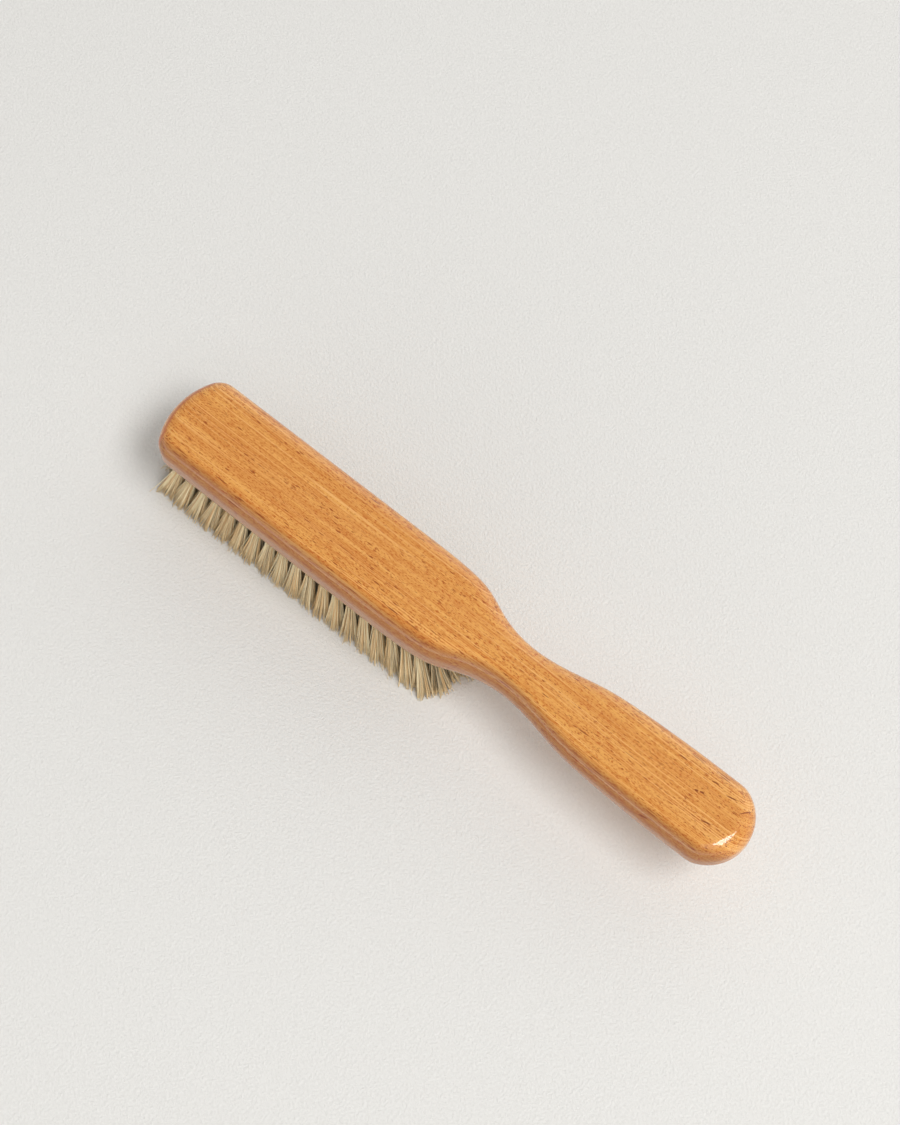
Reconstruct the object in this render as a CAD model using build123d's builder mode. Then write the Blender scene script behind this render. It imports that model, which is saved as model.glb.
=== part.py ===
"""Wooden clothes brush: a one-piece handled body, fanned bristle tufts and the metal anchors that hold them.

The brush stands on its bristle tips. The origin is on that surface, below the middle of its whole length, which
runs from the tips that lean out past the head to the end of the handle.
+X runs from the head towards the handle, +Y across the brush and +Z up.
"""

from build123d import *
from math import asin, atan, cos, degrees, radians, sin, tan
import os

os.makedirs("parts", exist_ok=True)

# Driving dimensions, in millimetres and degrees
length = 265.0  # end of the head to end of the handle
head_width = 38.0
head_thickness = 18.3
bristle_height = 23.2  # resting surface to the underside of the head
edge_radius = 7.0  # rounding along the top and bottom edges of the whole body

# Plan outline
head_end_radius = 30.0  # shallow bow across the end of the head
head_corner_radius = 9.0
neck_width = 20.0
handle_width = 32.8
handle_end_radius = 17.0
handle_corner_radius = 11.0

# Side outline, as heights above the resting surface
neck_underside, neck_top = 24.7, 39.9
handle_underside, handle_top = 25.0, 41.2

# Tufts: five staggered long rows, so that every second row is half a pitch along
tuft_pitch = 6.34  # along each row
row_pitch = 6.05  # across the brush
cross_rows = 21  # each is a zigzag of up to five tufts
first_tuft = 6.6  # head's end to the first tuft of the middle row
hole_radius = 2.05
hole_depth = 9.5
fan_middle = 65.5  # head's end to where the tufts stand straight along the brush
fan_rate = 0.276  # lean along the brush, in degrees for each millimetre from there
cross_fan = 13.0  # outward lean of the two outermost long rows
shoulder_tufts = {  # (cross row, place): inset, lean along and lean across where the head narrows
    (20, 2): (1.0, 9.9, 4.2),
    (19, 1): (0.0, 17.5, 2.8),
}
tuft_collar = 0.8  # unflared length just below each hole
flare_length = 27.0  # reaches past the resting surface, where every tuft is trimmed flat
flare_radius = 2.85

# Anchors
anchor_length = 5.1  # longer than the hole is wide, so that both ends bite into the wood
anchor_width = 2.0
anchor_thickness = 0.5
anchor_seat = 1.2  # folded bristle between the anchor and the bottom of the hole
anchor_height = hole_depth - anchor_seat - anchor_width
drill_start = 1.2  # the drill enters from below the underside

# How far the first tuft's tips lean out past the end of the head, from the lean and flare of that tuft
first_lean = radians(fan_rate * (fan_middle - first_tuft))
flare = atan((flare_radius - hole_radius) / flare_length)
apex = hole_radius / tan(flare) - tuft_collar  # the flare's cone closes this far up the tuft's axis from its hole
apex_along = first_tuft + apex * sin(first_lean)
apex_height = bristle_height + apex * cos(first_lean)
overhang = apex_height * tan(first_lean + flare) - apex_along

head_top = bristle_height + head_thickness
head_tip = (overhang - length) / 2
handle_tip = head_tip + length
standing = (Align.CENTER, Align.CENTER, Align.MIN)
hanging = (Align.CENTER, Align.CENTER, Align.MAX)


def tuft_mouth(row, place):
    """Plane at one hole's mouth, facing up into the wood along the hole. Place is -2 to 2 across the brush."""
    along = first_tuft + tuft_pitch * (row + 0.5 * (place % 2))
    side = -1 if place < 0 else 1
    regular = (0.0, fan_rate * (along - fan_middle), cross_fan * abs(place) / 2)
    inset, lean_along, lean_across = shoulder_tufts.get((row, abs(place)), regular)
    across = place * row_pitch - side * inset
    slope_along, slope_across = tan(radians(lean_along)), side * tan(radians(lean_across))
    return Plane(
        origin=(head_tip + along, across, bristle_height),
        x_dir=(1, 0, slope_along),
        z_dir=(-slope_along, -slope_across, 1),
    )


def tuft_mouths(row):
    """Hole mouths of one cross row. The first has no outer tufts, and the last only the middle and outer."""
    places = {0: (-1, 0, 1), cross_rows - 1: (-2, 0, 2)}.get(row, (-2, -1, 0, 1, 2))
    return [tuft_mouth(row, place) for place in places]


def rounded_end(tip, facing, end_radius, corner_radius, half_width):
    """Half of a bowed end: a shallow arc from the tip, then a corner arc that ends along the side."""
    corner_height = half_width - corner_radius
    end_turn = degrees(asin(corner_height / (end_radius - corner_radius)))
    end_arc = JernArc((tip, 0), (0, 1), end_radius, facing * end_turn)
    corner_arc = JernArc(end_arc @ 1, end_arc % 1, corner_radius, facing * (90 - end_turn))
    return corner_arc @ 1


# --- wooden body: plan outline, trimmed to the side outline, with every long edge rounded
with BuildPart() as wooden_body:
    with BuildSketch() as plan:
        with BuildLine() as outline:
            head_side = rounded_end(
                head_tip, -1, head_end_radius, head_corner_radius, head_width / 2
            )
            handle_side = rounded_end(
                handle_tip, 1, handle_end_radius, handle_corner_radius, handle_width / 2
            )
            shoulder_start = (head_tip + 110, head_width / 2)
            Line(head_side, shoulder_start)
            Spline(
                shoulder_start,
                (head_tip + 125, 18.6),
                (head_tip + 137, 16.8),
                (head_tip + 146, 13.2),
                (head_tip + 154, 10.9),
                (head_tip + 164, neck_width / 2),
                (head_tip + 179, 11.8),
                (head_tip + 192, 14.4),
                (head_tip + 207, 15.7),
                (head_tip + 227, 16.3),
                handle_side,
                tangents=[(1, 0), (1, 0)],
            )
            mirror(about=Plane.XZ)
        make_face()
    extrude(amount=2 * head_top)
    with BuildSketch(Plane.XZ) as side:
        with BuildLine():
            past_end = 5  # the side outline runs past both ends of the plan
            front_top = (head_tip - past_end, head_top)
            front_under = (head_tip - past_end, bristle_height)
            back_top = (handle_tip + past_end, handle_top)
            back_under = (handle_tip + past_end, handle_underside)
            top_break = (head_tip + 118, head_top)
            under_break = (head_tip + 142, bristle_height)
            Line(front_under, front_top)
            Line(front_top, top_break)
            Spline(
                top_break,
                (head_tip + 166, neck_top),
                (head_tip + 215, handle_top - 0.3),
                back_top,
                tangents=[(1, 0), (1, 0)],
            )
            Line(back_top, back_under)
            Spline(
                under_break,
                (head_tip + 166, neck_underside),
                (head_tip + 215, handle_underside),
                back_under,
                tangents=[(1, 0), (1, 0)],
            )
            Line(under_break, front_under)
        make_face()
    extrude(amount=head_width, both=True, mode=Mode.INTERSECT)
    rims = wooden_body.edges().filter_by(Axis.Z, reverse=True).filter_by(Axis.Y, reverse=True)
    fillet(rims, radius=edge_radius)

    every_mouth = [mouth for row in range(cross_rows) for mouth in tuft_mouths(row)]
    with Locations(*[mouth.offset(-drill_start) for mouth in every_mouth]):
        Cylinder(hole_radius, drill_start + hole_depth, align=standing, mode=Mode.SUBTRACT)
    with Locations(*[mouth.offset(anchor_height) for mouth in every_mouth]):
        Box(anchor_thickness, anchor_length, anchor_width, align=standing, mode=Mode.SUBTRACT)

wooden_body.part.label = "wooden_body"
export_step(wooden_body.part, "parts/wooden_body.step")

# --- tufts and their anchors, one node of each for every cross row
for row in range(cross_rows):
    mouths = tuft_mouths(row)
    seats = [mouth.offset(anchor_height) for mouth in mouths]

    with BuildPart() as tuft_row:
        with Locations(*[mouth.offset(-tuft_collar) for mouth in mouths]):
            Cylinder(hole_radius, tuft_collar + hole_depth, align=standing)
            Cone(flare_radius, hole_radius, flare_length, align=hanging)
        split(bisect_by=Plane.XY)
        with Locations(*seats):
            Box(anchor_thickness, anchor_length, anchor_width, align=standing, mode=Mode.SUBTRACT)

    tuft_row.part.label = f"tuft_row_{row + 1:02d}"
    export_step(tuft_row.part, f"parts/{tuft_row.part.label}.step")

    with BuildPart() as anchor_row:
        with Locations(*seats):
            Box(anchor_thickness, anchor_length, anchor_width, align=standing)

    anchor_row.part.label = f"anchor_row_{row + 1:02d}"
    export_step(anchor_row.part, f"parts/{anchor_row.part.label}.step")
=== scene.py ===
"""Looks for the wooden clothes brush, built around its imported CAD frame.

The lacquered wood body and the metal anchors keep their CAD meshes. Each CAD tuft gives its place and lean to
a bundle of modelled bristles, which stands for it. Lengths are in metres, except where a comment says
millimetres.
"""

import math
import random

import bpy
import numpy as np
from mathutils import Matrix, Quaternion, Vector


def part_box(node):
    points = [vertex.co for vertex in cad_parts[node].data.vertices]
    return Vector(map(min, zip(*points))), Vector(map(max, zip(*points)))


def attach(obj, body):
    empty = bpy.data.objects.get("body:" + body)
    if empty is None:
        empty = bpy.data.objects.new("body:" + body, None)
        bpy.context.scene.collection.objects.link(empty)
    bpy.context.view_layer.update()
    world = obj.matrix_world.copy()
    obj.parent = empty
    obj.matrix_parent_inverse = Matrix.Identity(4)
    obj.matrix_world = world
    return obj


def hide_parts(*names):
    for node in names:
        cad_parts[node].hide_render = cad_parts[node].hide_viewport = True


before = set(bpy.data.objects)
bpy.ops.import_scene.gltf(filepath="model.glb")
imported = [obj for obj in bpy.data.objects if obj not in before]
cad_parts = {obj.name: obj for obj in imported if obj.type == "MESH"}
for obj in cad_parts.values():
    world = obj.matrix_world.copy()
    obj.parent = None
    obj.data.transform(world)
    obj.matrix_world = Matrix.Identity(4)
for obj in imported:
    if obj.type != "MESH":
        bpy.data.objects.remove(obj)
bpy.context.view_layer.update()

MM = 0.001


def srgb(red, green, blue):
    """A colour given as 0 to 255 display values, as the linear colour that a shader takes."""

    def linear(value):
        value /= 255
        return value / 12.92 if value <= 0.04045 else ((value + 0.055) / 1.055) ** 2.4

    return (linear(red), linear(green), linear(blue), 1.0)


# ---------------------------------------------------------------- values

# Camera, at the viewing angle of the reference. Angles are in degrees, as outward() takes them.
CAMERA_AZIMUTH = 140.07
CAMERA_ELEVATION = 66.17
CAMERA_DISTANCE = 0.978
CAMERA_TARGET = Vector((-0.0226, 0.0280, 0.0))
CAMERA_LENS = 83.2  # millimetres, as the sensor is
CAMERA_SENSOR = 36.0  # the image's long side

# Stage
FLOOR_HALF_SIDE = 3.0
LIGHT_DISTANCE = 3.2
LIGHT_ROLL = math.radians(20)
ROOM_COLOUR = (1.0, 0.985, 0.96, 1.0)
PAPER_DARK = srgb(227, 226, 223)
PAPER_LIGHT = srgb(232, 231, 228)

# Wood colours
HONEY = srgb(226, 163, 84)
PALE = srgb(233, 170, 92)
WARM = srgb(196, 116, 46)
RUST = srgb(184, 94, 32)
LINE = srgb(240, 184, 112)
FLECK = srgb(146, 60, 10)
DASH = srgb(124, 50, 14)
BLACK = srgb(0, 0, 0)

# Growth layers: how steeply they rise across the board and up through it, and how far they wander in
# millimetres
LAYER_SLOPE = (0.80, 0.60)
LAYER_WANDER = 3.0

# Ray flecks: cells in a millimetre along each axis, offset, the share of cells with a fleck where flecks are
# sparse and where they crowd, how much more on the sides, and colour
FLECK_KINDS = (
    ((0.28, 1.7, 1.7), (0, 0, 0), 0.07, 0.50, 0.10, FLECK),
    ((0.60, 2.3, 2.3), (9, 4, 7), 0.08, 0.55, 0.10, FLECK),
    ((0.12, 1.5, 1.5), (3, 8, 2), 0.00, 0.05, 0.55, DASH),
)

# Single dark marks on top of the handle: middle, length and width in millimetres, and turn in degrees
MARKS = (
    ((100.6, -15.5), 3.4, 0.45, 6),
    ((120.8, 8.3), 4.2, 0.55, 12),
    ((127.5, 7.3), 4.6, 0.40, 56),
    ((109.6, 2.7), 1.5, 0.70, 15),
    ((111.6, 3.4), 1.7, 0.70, 12),
    ((98.7, 9.4), 3.3, 0.45, 0),
    ((119.1, -4.4), 3.8, 0.60, 13),
    ((113.0, 9.2), 2.9, 0.50, 7),
)
MARK_HEIGHT = 39  # millimetres, near the top of the handle
MARK_HALF_DEPTH = 6  # millimetres

# The metal anchors' colours
WIRE_DARK = srgb(176, 172, 160)
WIRE_LIGHT = srgb(214, 210, 200)

# Bristle colours
STRAW = srgb(232, 188, 126)
CREAM = srgb(255, 243, 206)
BROWN = srgb(110, 78, 42)
ROOT_SHADE = srgb(130, 88, 40)
STREAK_TONE = srgb(214, 190, 140)
UNLIT = srgb(22, 15, 8)
BLOOM = srgb(255, 226, 176)

# One strand of bristle
STRAND_RADIUS = 0.15 * MM
STRAND_THICKNESS = (0.75, 1.2)  # shares of that radius
STRAND_TAPER = 0.4
STRAND_SIDES = 3
STRAND_RINGS = 5
STRAND_CORNERS = STRAND_SIDES * STRAND_RINGS
STRAND_DEPTH = 3.0 * MM  # how far it is modelled up into its hole
STRAND_BOW = (2.4 * MM, 3.8 * MM)  # four times how far its middle is drawn in
STRAND_BOW_SCATTER = 0.4 * MM

# One tuft
LOCKS = 48  # small clumps in each tuft, whose bristles end together
LOCK_STRANDS = 6
LOCK_TURN = 0.3  # radians
LOCK_SCATTER = 0.2 * MM
ROOT_RADIUS = 1.44 * MM  # at the hole's mouth
TIP_RADIUS = 3.85 * MM  # where the bristles are trimmed
TIP_SCATTER = 0.6 * MM
STRAY_SCATTER = 1.0 * MM
STRAY_SHARE = 0.06
LOCK_TRIM = 0.15 * MM
STRAND_TRIM = 0.25 * MM
LEAST_TRIM = 0.05 * MM
GOLDEN_ANGLE = math.pi * (3 - math.sqrt(5))

# The whole field of bristles
MOUTH_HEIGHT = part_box("wooden_body")[0].z
FIELD_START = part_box("tuft_row_01")[0].x
FIELD_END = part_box("tuft_row_21")[1].x
FIELD_HALF_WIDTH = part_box("tuft_row_10")[1].y
LIT_DEPTH = 2.2 * MM  # how far in from the field's edge the bristles are fully lit
LIT_FADE = 2.4 * MM  # the further distance over which they darken
DRAWS_SEED = 7


# ---------------------------------------------------------------- node helpers


class Tree:
    """A small wrapper that makes and links the nodes of a material or a world."""

    def __init__(self, owner):
        owner.use_nodes = True
        self.nodes = owner.node_tree.nodes
        self.links = owner.node_tree.links

    def link(self, value, socket):
        """Feed a socket from another node's output, or set it to a constant."""
        if isinstance(value, bpy.types.NodeSocket):
            self.links.new(value, socket)
        else:
            socket.default_value = value

    def feed(self, node_name, values):
        """Feed several sockets of a node that is already there."""
        for socket_name, value in values.items():
            self.link(value, self.nodes[node_name].inputs[socket_name])

    def math(self, operation, a, b=0.0):
        node = self.nodes.new("ShaderNodeMath")
        node.operation = operation
        self.link(a, node.inputs[0])
        self.link(b, node.inputs[1])
        return node.outputs[0]

    def plus(self, a, b):
        return self.math("ADD", a, b)

    def times(self, a, b):
        return self.math("MULTIPLY", a, b)

    def stretched(self, vector, scale, offset=(0, 0, 0)):
        node = self.nodes.new("ShaderNodeMapping")
        self.link(vector, node.inputs["Vector"])
        node.inputs["Scale"].default_value = scale
        node.inputs["Location"].default_value = offset
        return node.outputs[0]

    def distance(self, vector, middle, half_lengths, turn):
        """Distance from a middle, as a share of an ellipsoid's half lengths."""
        node = self.nodes.new("ShaderNodeMapping")
        node.vector_type = "TEXTURE"
        self.link(vector, node.inputs["Vector"])
        node.inputs["Location"].default_value = middle
        node.inputs["Rotation"].default_value = (0, 0, turn)
        node.inputs["Scale"].default_value = half_lengths
        length = self.nodes.new("ShaderNodeVectorMath")
        length.operation = "LENGTH"
        self.link(node.outputs[0], length.inputs[0])
        return length.outputs["Value"]

    def noise(self, vector, scale=1.0, detail=2.0, roughness=0.5, output="Fac"):
        node = self.nodes.new("ShaderNodeTexNoise")
        self.link(vector, node.inputs["Vector"])
        node.inputs["Scale"].default_value = scale
        node.inputs["Detail"].default_value = detail
        node.inputs["Roughness"].default_value = roughness
        return node.outputs[output]

    def cells(self, vector, output):
        node = self.nodes.new("ShaderNodeTexVoronoi")
        self.link(vector, node.inputs["Vector"])
        node.inputs["Scale"].default_value = 1.0
        return node.outputs[output]

    def ramp(self, value, low, high, out_low=0.0, out_high=1.0, smooth=True):
        node = self.nodes.new("ShaderNodeMapRange")
        node.interpolation_type = "SMOOTHSTEP" if smooth else "LINEAR"
        self.link(value, node.inputs["Value"])
        self.link(low, node.inputs["From Min"])
        self.link(high, node.inputs["From Max"])
        self.link(out_low, node.inputs["To Min"])
        self.link(out_high, node.inputs["To Max"])
        return node.outputs["Result"]

    def spread(self, value, low, high):
        """A number from 0 to 1, spread evenly from low to high."""
        return self.ramp(value, 0, 1, low, high, smooth=False)

    def mix(self, factor, a, b):
        node = self.nodes.new("ShaderNodeMix")
        node.data_type = "RGBA"
        self.link(factor, node.inputs[0])
        # The colour sockets have the same names as the float and vector ones, so they go by number
        self.link(a, node.inputs[6])
        self.link(b, node.inputs[7])
        return node.outputs[2]

    def bump(self, height, distance, strength=1.0, normal=None):
        node = self.nodes.new("ShaderNodeBump")
        node.inputs["Strength"].default_value = strength
        node.inputs["Distance"].default_value = distance
        self.link(height, node.inputs["Height"])
        if normal is not None:
            self.link(normal, node.inputs["Normal"])
        return node.outputs[0]

    def place(self):
        """The place on the surface, in millimetres from the frame's origin."""
        here = self.nodes.new("ShaderNodeTexCoord").outputs["Object"]
        return self.stretched(here, (1000, 1000, 1000))

    def split(self, vector):
        node = self.nodes.new("ShaderNodeSeparateXYZ")
        self.link(vector, node.inputs[0])
        return node.outputs

    def join(self, x, y, z):
        node = self.nodes.new("ShaderNodeCombineXYZ")
        for value, socket in zip((x, y, z), node.inputs):
            self.link(value, socket)
        return node.outputs[0]

    def attribute(self, name):
        node = self.nodes.new("ShaderNodeAttribute")
        node.attribute_name = name
        return node.outputs["Fac"]


# ---------------------------------------------------------------- wood


def growth_layers(t, place):
    """A function that gives noise stretched out along the grain, in layers that dip across the board. They
    crop out as lines along the grain and as arcs at its ends."""
    x, y, z = t.split(place)
    wander = t.noise(t.stretched(place, (0.008, 0.03, 0.03)), detail=0)
    slope = t.plus(t.times(y, LAYER_SLOPE[0]), t.times(z, LAYER_SLOPE[1]))
    layer = t.plus(slope, t.times(wander, LAYER_WANDER))

    def layered(along, across, seed, detail=0):
        vector = t.join(t.times(x, along), t.times(layer, across), seed)
        return t.noise(vector, detail=detail, roughness=0.6)

    return layered


def ground_colour(t, place, speck, layered):
    """Honey-coloured wood with warmer bands, mottling and fine rusty specks."""
    band = layered(0.005, 0.40, 0.0, detail=2)
    colour = t.mix(t.ramp(band, 0.35, 0.65, 0.45, 0.0), HONEY, WARM)
    mottle = t.noise(t.stretched(place, (0.30, 0.9, 0.9)))
    colour = t.mix(t.ramp(mottle, 0.48, 0.66, 0.0, 0.55), colour, WARM)
    return t.mix(t.ramp(speck, 0.52, 0.68, 0.0, 0.90), colour, RUST)


def with_hairlines(t, colour, hairline, layered):
    """Dark and pale hairlines along the layers. The palest are gathered into bands."""
    colour = t.mix(t.ramp(layered(0.016, 2.6, 5.0, detail=1), 0.54, 0.68, 0.0, 0.75), colour, WARM)
    gathered = t.ramp(layered(0.012, 0.22, 11.0), 0.30, 0.60, 0.30, 1.0)
    colour = t.mix(t.times(t.times(hairline, gathered), 0.72), colour, LINE)
    return t.mix(t.ramp(layered(0.03, 4.2, 23.0), 0.56, 0.72, 0.0, 0.5), colour, PALE)


def with_flecks(t, colour, place, facing, layered):
    """Rays: short dark flecks on top, crowded into some bands, and longer dashes on the sides."""
    side = t.ramp(t.math("ABSOLUTE", facing["Y"]), 0.06, 0.40)
    crowd = t.ramp(layered(0.015, 0.20, 3.0, detail=2), 0.42, 0.60)
    for stretch, offset, sparse, crowded, more, tone in FLECK_KINDS:
        spot = t.stretched(place, stretch, offset)
        spot = t.mix(0.08, spot, t.noise(spot, scale=1.7, output="Color"))
        pick = t.split(t.cells(spot, "Color"))
        chance = t.plus(t.spread(crowd, sparse, crowded), t.times(side, more))
        size = t.spread(pick["Y"], 0.24, 0.48)
        fleck = t.ramp(t.cells(spot, "Distance"), size, t.times(size, 0.35))
        fleck = t.times(fleck, t.math("LESS_THAN", pick["X"], chance))
        depth = t.spread(pick["Z"], 0.45, 1.0)
        colour = t.mix(t.times(fleck, depth), colour, tone)
    return colour


def with_marks(t, colour, place):
    """The single dark marks, with ragged edges."""
    ragged = t.times(t.noise(t.stretched(place, (1.2, 3.0, 3.0)), detail=1), 0.6)
    for (x, y), length, width, turn in MARKS:
        half_lengths = (length / 2, width / 2, MARK_HALF_DEPTH)
        away = t.distance(place, (x, y, MARK_HEIGHT), half_lengths, math.radians(turn))
        mark = t.ramp(t.plus(away, ragged), 1.55, 1.10)
        colour = t.mix(t.times(mark, 0.9), colour, DASH)
    return colour


def beech_material():
    """Clear-lacquered beech. The grain is solid: it depends on the place in the board, so it bends over the
    rounded edges as real grain does."""
    material = bpy.data.materials.new("lacquered_beech")
    t = Tree(material)
    place = t.place()
    facing = t.split(t.nodes.new("ShaderNodeNewGeometry").outputs["Normal"])
    layered = growth_layers(t, place)
    speck = t.noise(t.stretched(place, (0.85, 2.6, 2.6)), detail=1)
    hairline = t.ramp(layered(0.011, 2.5, 17.0), 0.57, 0.68)
    colour = ground_colour(t, place, speck, layered)
    colour = with_hairlines(t, colour, hairline, layered)
    # Painted shade: the near side, facing -Y, is darkened and reddened in the colour for the shade it falls
    # in
    near = t.ramp(facing["Y"], -0.25, -0.75)
    colour = t.mix(t.times(near, 0.30), colour, RUST)
    colour = t.mix(t.times(near, 0.42), colour, BLACK)
    colour = with_flecks(t, colour, place, facing, layered)
    colour = with_marks(t, colour, place)
    # End grain takes up more of the finish: a dark line where the head's end rounds over
    rim = t.ramp(t.math("ABSOLUTE", t.plus(facing["X"], 0.62)), 0.16, 0.02)
    colour = t.mix(t.times(rim, 0.85), colour, RUST)
    # The lacquer is a little wavy, and it has sunk into the hairlines
    sunk = t.bump(hairline, 0.01 * MM, 0.5)
    wavy = t.noise(t.stretched(place, (0.05, 0.12, 0.12)), detail=1)
    t.feed("Principled BSDF", {
        "Base Color": colour,
        "Roughness": t.ramp(speck, 0.3, 0.7, 0.36, 0.48),
        "Specular IOR Level": 0.1,
        "Coat Weight": 1.0,
        "Coat Roughness": 0.07,
        "Coat IOR": 1.47,
        "Normal": t.bump(wavy, 0.1 * MM, 1.0, sunk),
    })
    return material


# ---------------------------------------------------------------- other materials


def bristle_material():
    """Pale natural bristle: each strand has its own tint, with painted shade that makes it darker and warmer
    towards its root.
    """
    material = bpy.data.materials.new("natural_bristle")
    t = Tree(material)
    place = t.place()
    tint = t.attribute("tint")
    colour = t.mix(t.ramp(tint, 0.05, 0.65), STRAW, CREAM)
    colour = t.mix(t.times(t.math("GREATER_THAN", tint, 0.93), 0.9), colour, BROWN)
    # Painted shade: the roots, under the wood and between the tufts, are darkened in the colour
    colour = t.mix(t.ramp(t.attribute("along"), 0.45, 0.1, 0.0, 0.60), colour, ROOT_SHADE)
    streak = t.noise(t.stretched(place, (9, 9, 0.5)), detail=1)
    colour = t.mix(t.ramp(streak, 0.4, 0.7, 0.0, 0.15), colour, STREAK_TONE)
    # Little light gets in between the tufts, except right at the tips
    above_tips = t.ramp(t.split(place)["Z"], 1.5, 5.0)
    colour = t.mix(t.times(t.attribute("inner"), above_tips), colour, UNLIT)
    t.feed("Principled BSDF", {
        "Base Color": colour,
        "Roughness": t.ramp(streak, 0.3, 0.7, 0.38, 0.5),
        "Specular IOR Level": 0.5,
        "Sheen Weight": 1.0,
        "Sheen Roughness": 0.4,
        "Sheen Tint": BLOOM,
    })
    return material


def anchor_material():
    """Drawn flat wire with fine die lines along it."""
    material = bpy.data.materials.new("drawn_wire")
    t = Tree(material)
    lines = t.noise(t.stretched(t.place(), (9, 0.4, 9)), detail=3)
    t.feed("Principled BSDF", {
        "Base Color": t.mix(lines, WIRE_DARK, WIRE_LIGHT),
        "Roughness": t.ramp(lines, 0.3, 0.7, 0.22, 0.42),
        "Metallic": 1.0,
        "Normal": t.bump(lines, 0.02 * MM, 0.4),
    })
    return material


def floor_material():
    """Off-white paper with a fine pebbled tooth."""
    material = bpy.data.materials.new("paper_floor")
    t = Tree(material)
    tooth = t.noise(t.stretched(t.place(), (0.95, 0.95, 0.95)), detail=3, roughness=0.65)
    t.feed("Principled BSDF", {
        "Base Color": t.mix(t.ramp(tooth, 0.3, 0.7), PAPER_DARK, PAPER_LIGHT),
        "Roughness": 0.85,
        "Specular IOR Level": 0.2,
        "Normal": t.bump(tooth, 0.9 * MM, 0.6),
    })
    return material


# ---------------------------------------------------------------- bristles


def loose_solids(mesh):
    """The vertex places of each separate solid in a CAD mesh."""
    places = np.empty(len(mesh.vertices) * 3)
    mesh.vertices.foreach_get("co", places)
    places = places.reshape(-1, 3)
    # Vertices at the same place, to a tenth of a micrometre, are joined from the start
    first_there = {}
    parent = [first_there.setdefault(tuple(key), index) for index, key in enumerate(np.round(places, 7))]

    def root(index):
        while parent[index] != index:
            parent[index] = parent[parent[index]]
            index = parent[index]
        return index

    for edge in mesh.edges:
        start, end = edge.vertices
        parent[root(start)] = root(end)
    groups = {}
    for index in range(len(places)):
        groups.setdefault(root(index), []).append(index)
    return [places[members] for _, members in sorted(groups.items())]


def middle(places):
    """The middle of the box round some places."""
    return Vector((places.min(0) + places.max(0)) / 2)


def tuft_axis(places):
    """(middle of the trimmed tips, middle of the folded end) of one CAD tuft."""
    height = places[:, 2]
    tips = places[height < height.min() + 0.2 * MM]
    fold = places[height > height.max() - 1.2 * MM]
    return middle(tips), middle(fold)


def flat_scatter(draws, spread):
    """A random level offset."""
    return Vector((draws.gauss(0, spread), draws.gauss(0, spread), 0))


def tuft_strands(tip_middle, fold_middle, draws):
    """(start, end, bow, radius) of each strand in a tuft, gathered into locks that end together."""
    axis = (tip_middle - fold_middle).normalized()
    mouth = tip_middle - axis * (MOUTH_HEIGHT / abs(axis.z))
    side = (Vector((1, 0, 0)) - axis * axis.x).normalized()
    across = axis.cross(side)
    strands = []
    for lock in range(LOCKS):
        share = math.sqrt((lock + 0.5) / LOCKS)
        angle = lock * GOLDEN_ANGLE + draws.uniform(-LOCK_TURN, LOCK_TURN)
        out = (side * math.cos(angle) + across * math.sin(angle)) * share
        # Neighbouring tufts press each other's tips nearly square
        square = (math.cos(angle) ** 4 + math.sin(angle) ** 4) ** -0.25
        lock_tip = tip_middle + out * square * TIP_RADIUS + flat_scatter(draws, LOCK_SCATTER)
        lock_trim = LEAST_TRIM + abs(draws.gauss(0, LOCK_TRIM))
        for _ in range(LOCK_STRANDS):
            start = mouth + out * ROOT_RADIUS + flat_scatter(draws, LOCK_SCATTER) - axis * STRAND_DEPTH
            tip_scatter = STRAY_SCATTER if draws.random() < STRAY_SHARE else TIP_SCATTER
            end = lock_tip + flat_scatter(draws, tip_scatter)
            line = (end - start).normalized()
            trim = lock_trim + abs(draws.gauss(0, STRAND_TRIM))
            end -= line * ((end.z - trim) / line.z)
            bow = out * draws.uniform(*STRAND_BOW) + flat_scatter(draws, STRAND_BOW_SCATTER)
            strands.append((start, end, bow, STRAND_RADIUS * draws.uniform(*STRAND_THICKNESS)))
    return strands


def strand_vertices(start, end, bow, radius, turn):
    """Places of one strand's vertices: tapered rings along a gently bowed line."""
    axis = (end - start).normalized()
    side = axis.orthogonal().normalized()
    across = axis.cross(side)
    places = []
    for ring in range(STRAND_RINGS):
        share = ring / (STRAND_RINGS - 1)
        centre = start.lerp(end, share) + bow * (share * share - share)
        width = radius * (1.0 - STRAND_TAPER * share ** 3)
        for corner in range(STRAND_SIDES):
            angle = turn + 2 * math.pi * corner / STRAND_SIDES
            places.append(centre + (side * math.cos(angle) + across * math.sin(angle)) * width)
    return places


def strand_faces(first):
    """One strand's faces, whose vertices are numbered from first: its sides, and then its two ends."""
    last = first + STRAND_CORNERS - STRAND_SIDES
    faces = []
    for low in range(first, last, STRAND_SIDES):
        high = low + STRAND_SIDES
        for corner in range(STRAND_SIDES):
            follow = (corner + 1) % STRAND_SIDES
            faces.append((low + corner, low + follow, high + follow, high + corner))
    faces.append(tuple(reversed(range(first, first + STRAND_SIDES))))
    faces.append(tuple(range(last, last + STRAND_SIDES)))
    return faces


def inner_share(tip):
    """0 for a tip near the edge of the whole field of bristles, and 1 well inside it."""
    depth = min(FIELD_HALF_WIDTH - abs(tip.y), tip.x - FIELD_START, FIELD_END - tip.x)
    return min(max((depth - LIT_DEPTH) / LIT_FADE, 0.0), 1.0)


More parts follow.
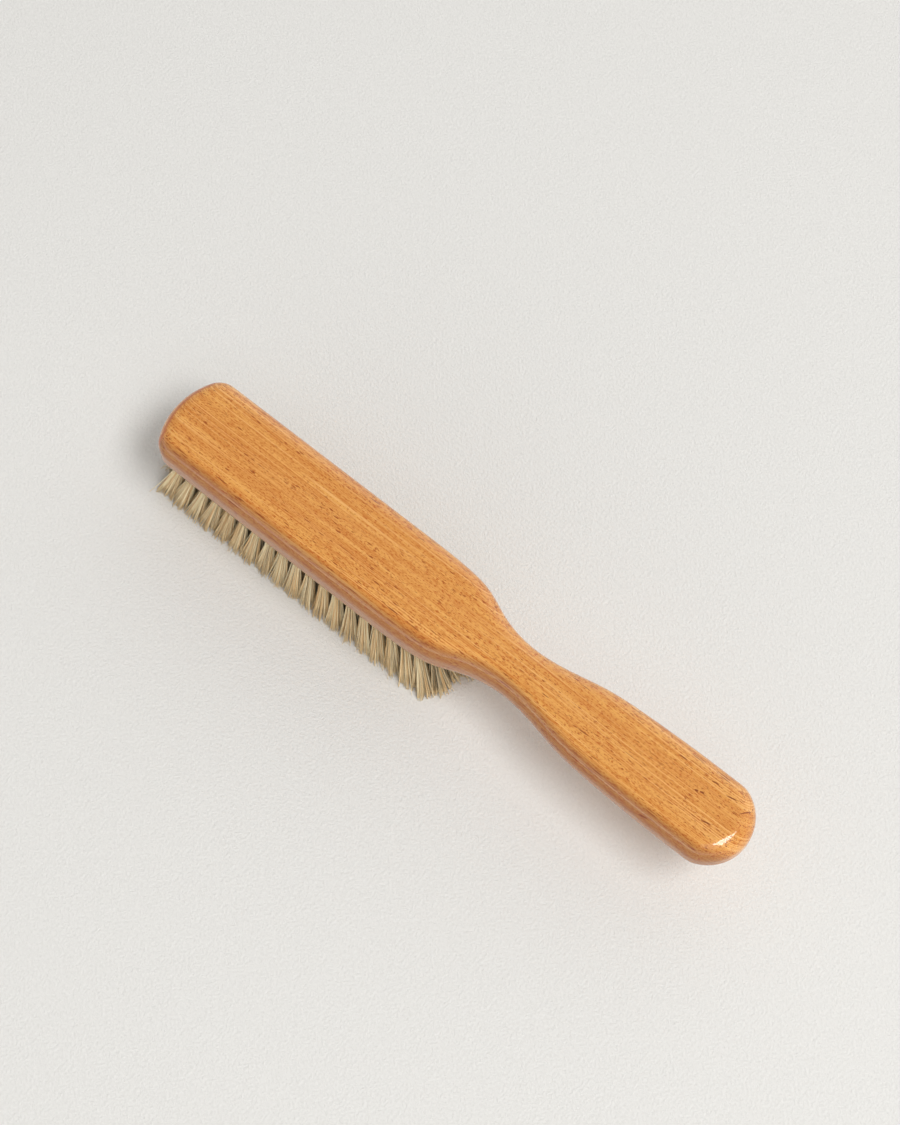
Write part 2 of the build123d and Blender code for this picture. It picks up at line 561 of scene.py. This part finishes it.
def bristle_row(name, tufts, draws, material):
    """One cross row's bristles as a mesh. Each strand has a tint and how far inside the brush its tip is, and
    each ring has the share along the strand."""
    vertices, faces, tints, inners, alongs = [], [], [], [], []
    strand_alongs = [corner // STRAND_SIDES / (STRAND_RINGS - 1) for corner in range(STRAND_CORNERS)]
    for tip_middle, fold_middle in tufts:
        for start, end, bow, radius in tuft_strands(tip_middle, fold_middle, draws):
            faces += strand_faces(len(vertices))
            vertices += strand_vertices(start, end, bow, radius, draws.uniform(0, math.pi))
            tints += [draws.random()] * STRAND_CORNERS
            inners += [inner_share(end)] * STRAND_CORNERS
            alongs += strand_alongs
    mesh = bpy.data.meshes.new(name)
    mesh.from_pydata(vertices, [], faces)
    for label, values in (("tint", tints), ("inner", inners), ("along", alongs)):
        layer = mesh.attributes.new(label, "FLOAT", "POINT")
        layer.data.foreach_set("value", values)
    mesh.shade_smooth()
    mesh.materials.append(material)
    piece = bpy.data.objects.new(name, mesh)
    bpy.context.scene.collection.objects.link(piece)
    return piece


# ---------------------------------------------------------------- stage


def outward(azimuth, elevation):
    """The direction at an azimuth and an elevation in degrees. Azimuth 0 is behind the brush, along +Y, and
    90 is past the end of the handle, along +X."""
    azimuth, elevation = math.radians(azimuth), math.radians(elevation)
    level = math.cos(elevation)
    return Vector((math.sin(azimuth) * level, math.cos(azimuth) * level, math.sin(elevation)))


def add_camera():
    data = bpy.data.cameras.new("camera")
    data.sensor_width = CAMERA_SENSOR
    data.lens = CAMERA_LENS
    camera = bpy.data.objects.new("camera", data)
    back = outward(CAMERA_AZIMUTH, CAMERA_ELEVATION)
    camera.location = CAMERA_TARGET + back * CAMERA_DISTANCE
    camera.rotation_euler = back.to_track_quat("Z", "Y").to_euler()
    bpy.context.scene.collection.objects.link(camera)
    bpy.context.scene.camera = camera


def add_floor():
    side = FLOOR_HALF_SIDE
    mesh = bpy.data.meshes.new("floor")
    corners = [(-side, -side, 0), (side, -side, 0), (side, side, 0), (-side, side, 0)]
    mesh.from_pydata(corners, [], [(0, 1, 2, 3)])
    mesh.materials.append(floor_material())
    floor = bpy.data.objects.new("floor", mesh)
    bpy.context.scene.collection.objects.link(floor)


def add_area_light(name, azimuth, elevation, size, energy):
    """A rectangular light that faces the brush, rolled a little about its line to it."""
    data = bpy.data.lights.new(name, "AREA")
    data.shape = "RECTANGLE"
    data.size, data.size_y = size
    data.energy = energy
    light = bpy.data.objects.new(name, data)
    out = outward(azimuth, elevation)
    light.location = out * LIGHT_DISTANCE
    facing = out.to_track_quat("Z", "Y") @ Quaternion((0, 0, 1), LIGHT_ROLL)
    light.rotation_euler = facing.to_euler()
    bpy.context.scene.collection.objects.link(light)


def add_world(base, horizon, near, far):
    """A plain room: lit all round, brighter low down, and brighter still before and behind the brush."""
    world = bpy.data.worlds.new("world")
    bpy.context.scene.world = world
    t = Tree(world)
    direction = t.split(t.nodes.new("ShaderNodeTexCoord").outputs["Generated"])
    low = t.math("POWER", t.math("SUBTRACT", 1.0, t.math("ABSOLUTE", direction["Z"])), 3.0)
    before = t.times(t.math("MAXIMUM", t.times(direction["Y"], -1.0), 0.0), low)
    behind = t.math("POWER", t.math("MAXIMUM", direction["Y"], 0.0), 2.0)
    strength = t.plus(t.times(low, horizon), base)
    strength = t.plus(strength, t.times(before, near))
    strength = t.plus(strength, t.times(behind, far))
    t.feed("Background", {"Color": ROOM_COLOUR, "Strength": strength})


# ---------------------------------------------------------------- build


def dress(node, material):
    """Give a CAD node a material in place of its packed one."""
    node.data.materials.clear()
    node.data.materials.append(material)


add_camera()
add_floor()
add_world(base=0.28, horizon=0.25, near=2.7, far=1.1)
add_area_light("key", azimuth=112, elevation=54, size=(2.4, 1.7), energy=14)
add_area_light("key centre", azimuth=90, elevation=61, size=(1.5, 0.95), energy=54)
bpy.context.scene.view_settings.view_transform = "Standard"

dress(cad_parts["wooden_body"], beech_material())
bristle = bristle_material()
wire = anchor_material()
draws = random.Random(DRAWS_SEED)
for name in sorted(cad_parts):
    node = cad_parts[name]
    if name.startswith("anchor_row"):
        dress(node, wire)
    if name.startswith("tuft_row"):
        tufts = [tuft_axis(places) for places in loose_solids(node.data)]
        piece = bristle_row(name.replace("tuft_row", "bristles"), tufts, draws, bristle)
        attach(piece, "root")
        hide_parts(name)
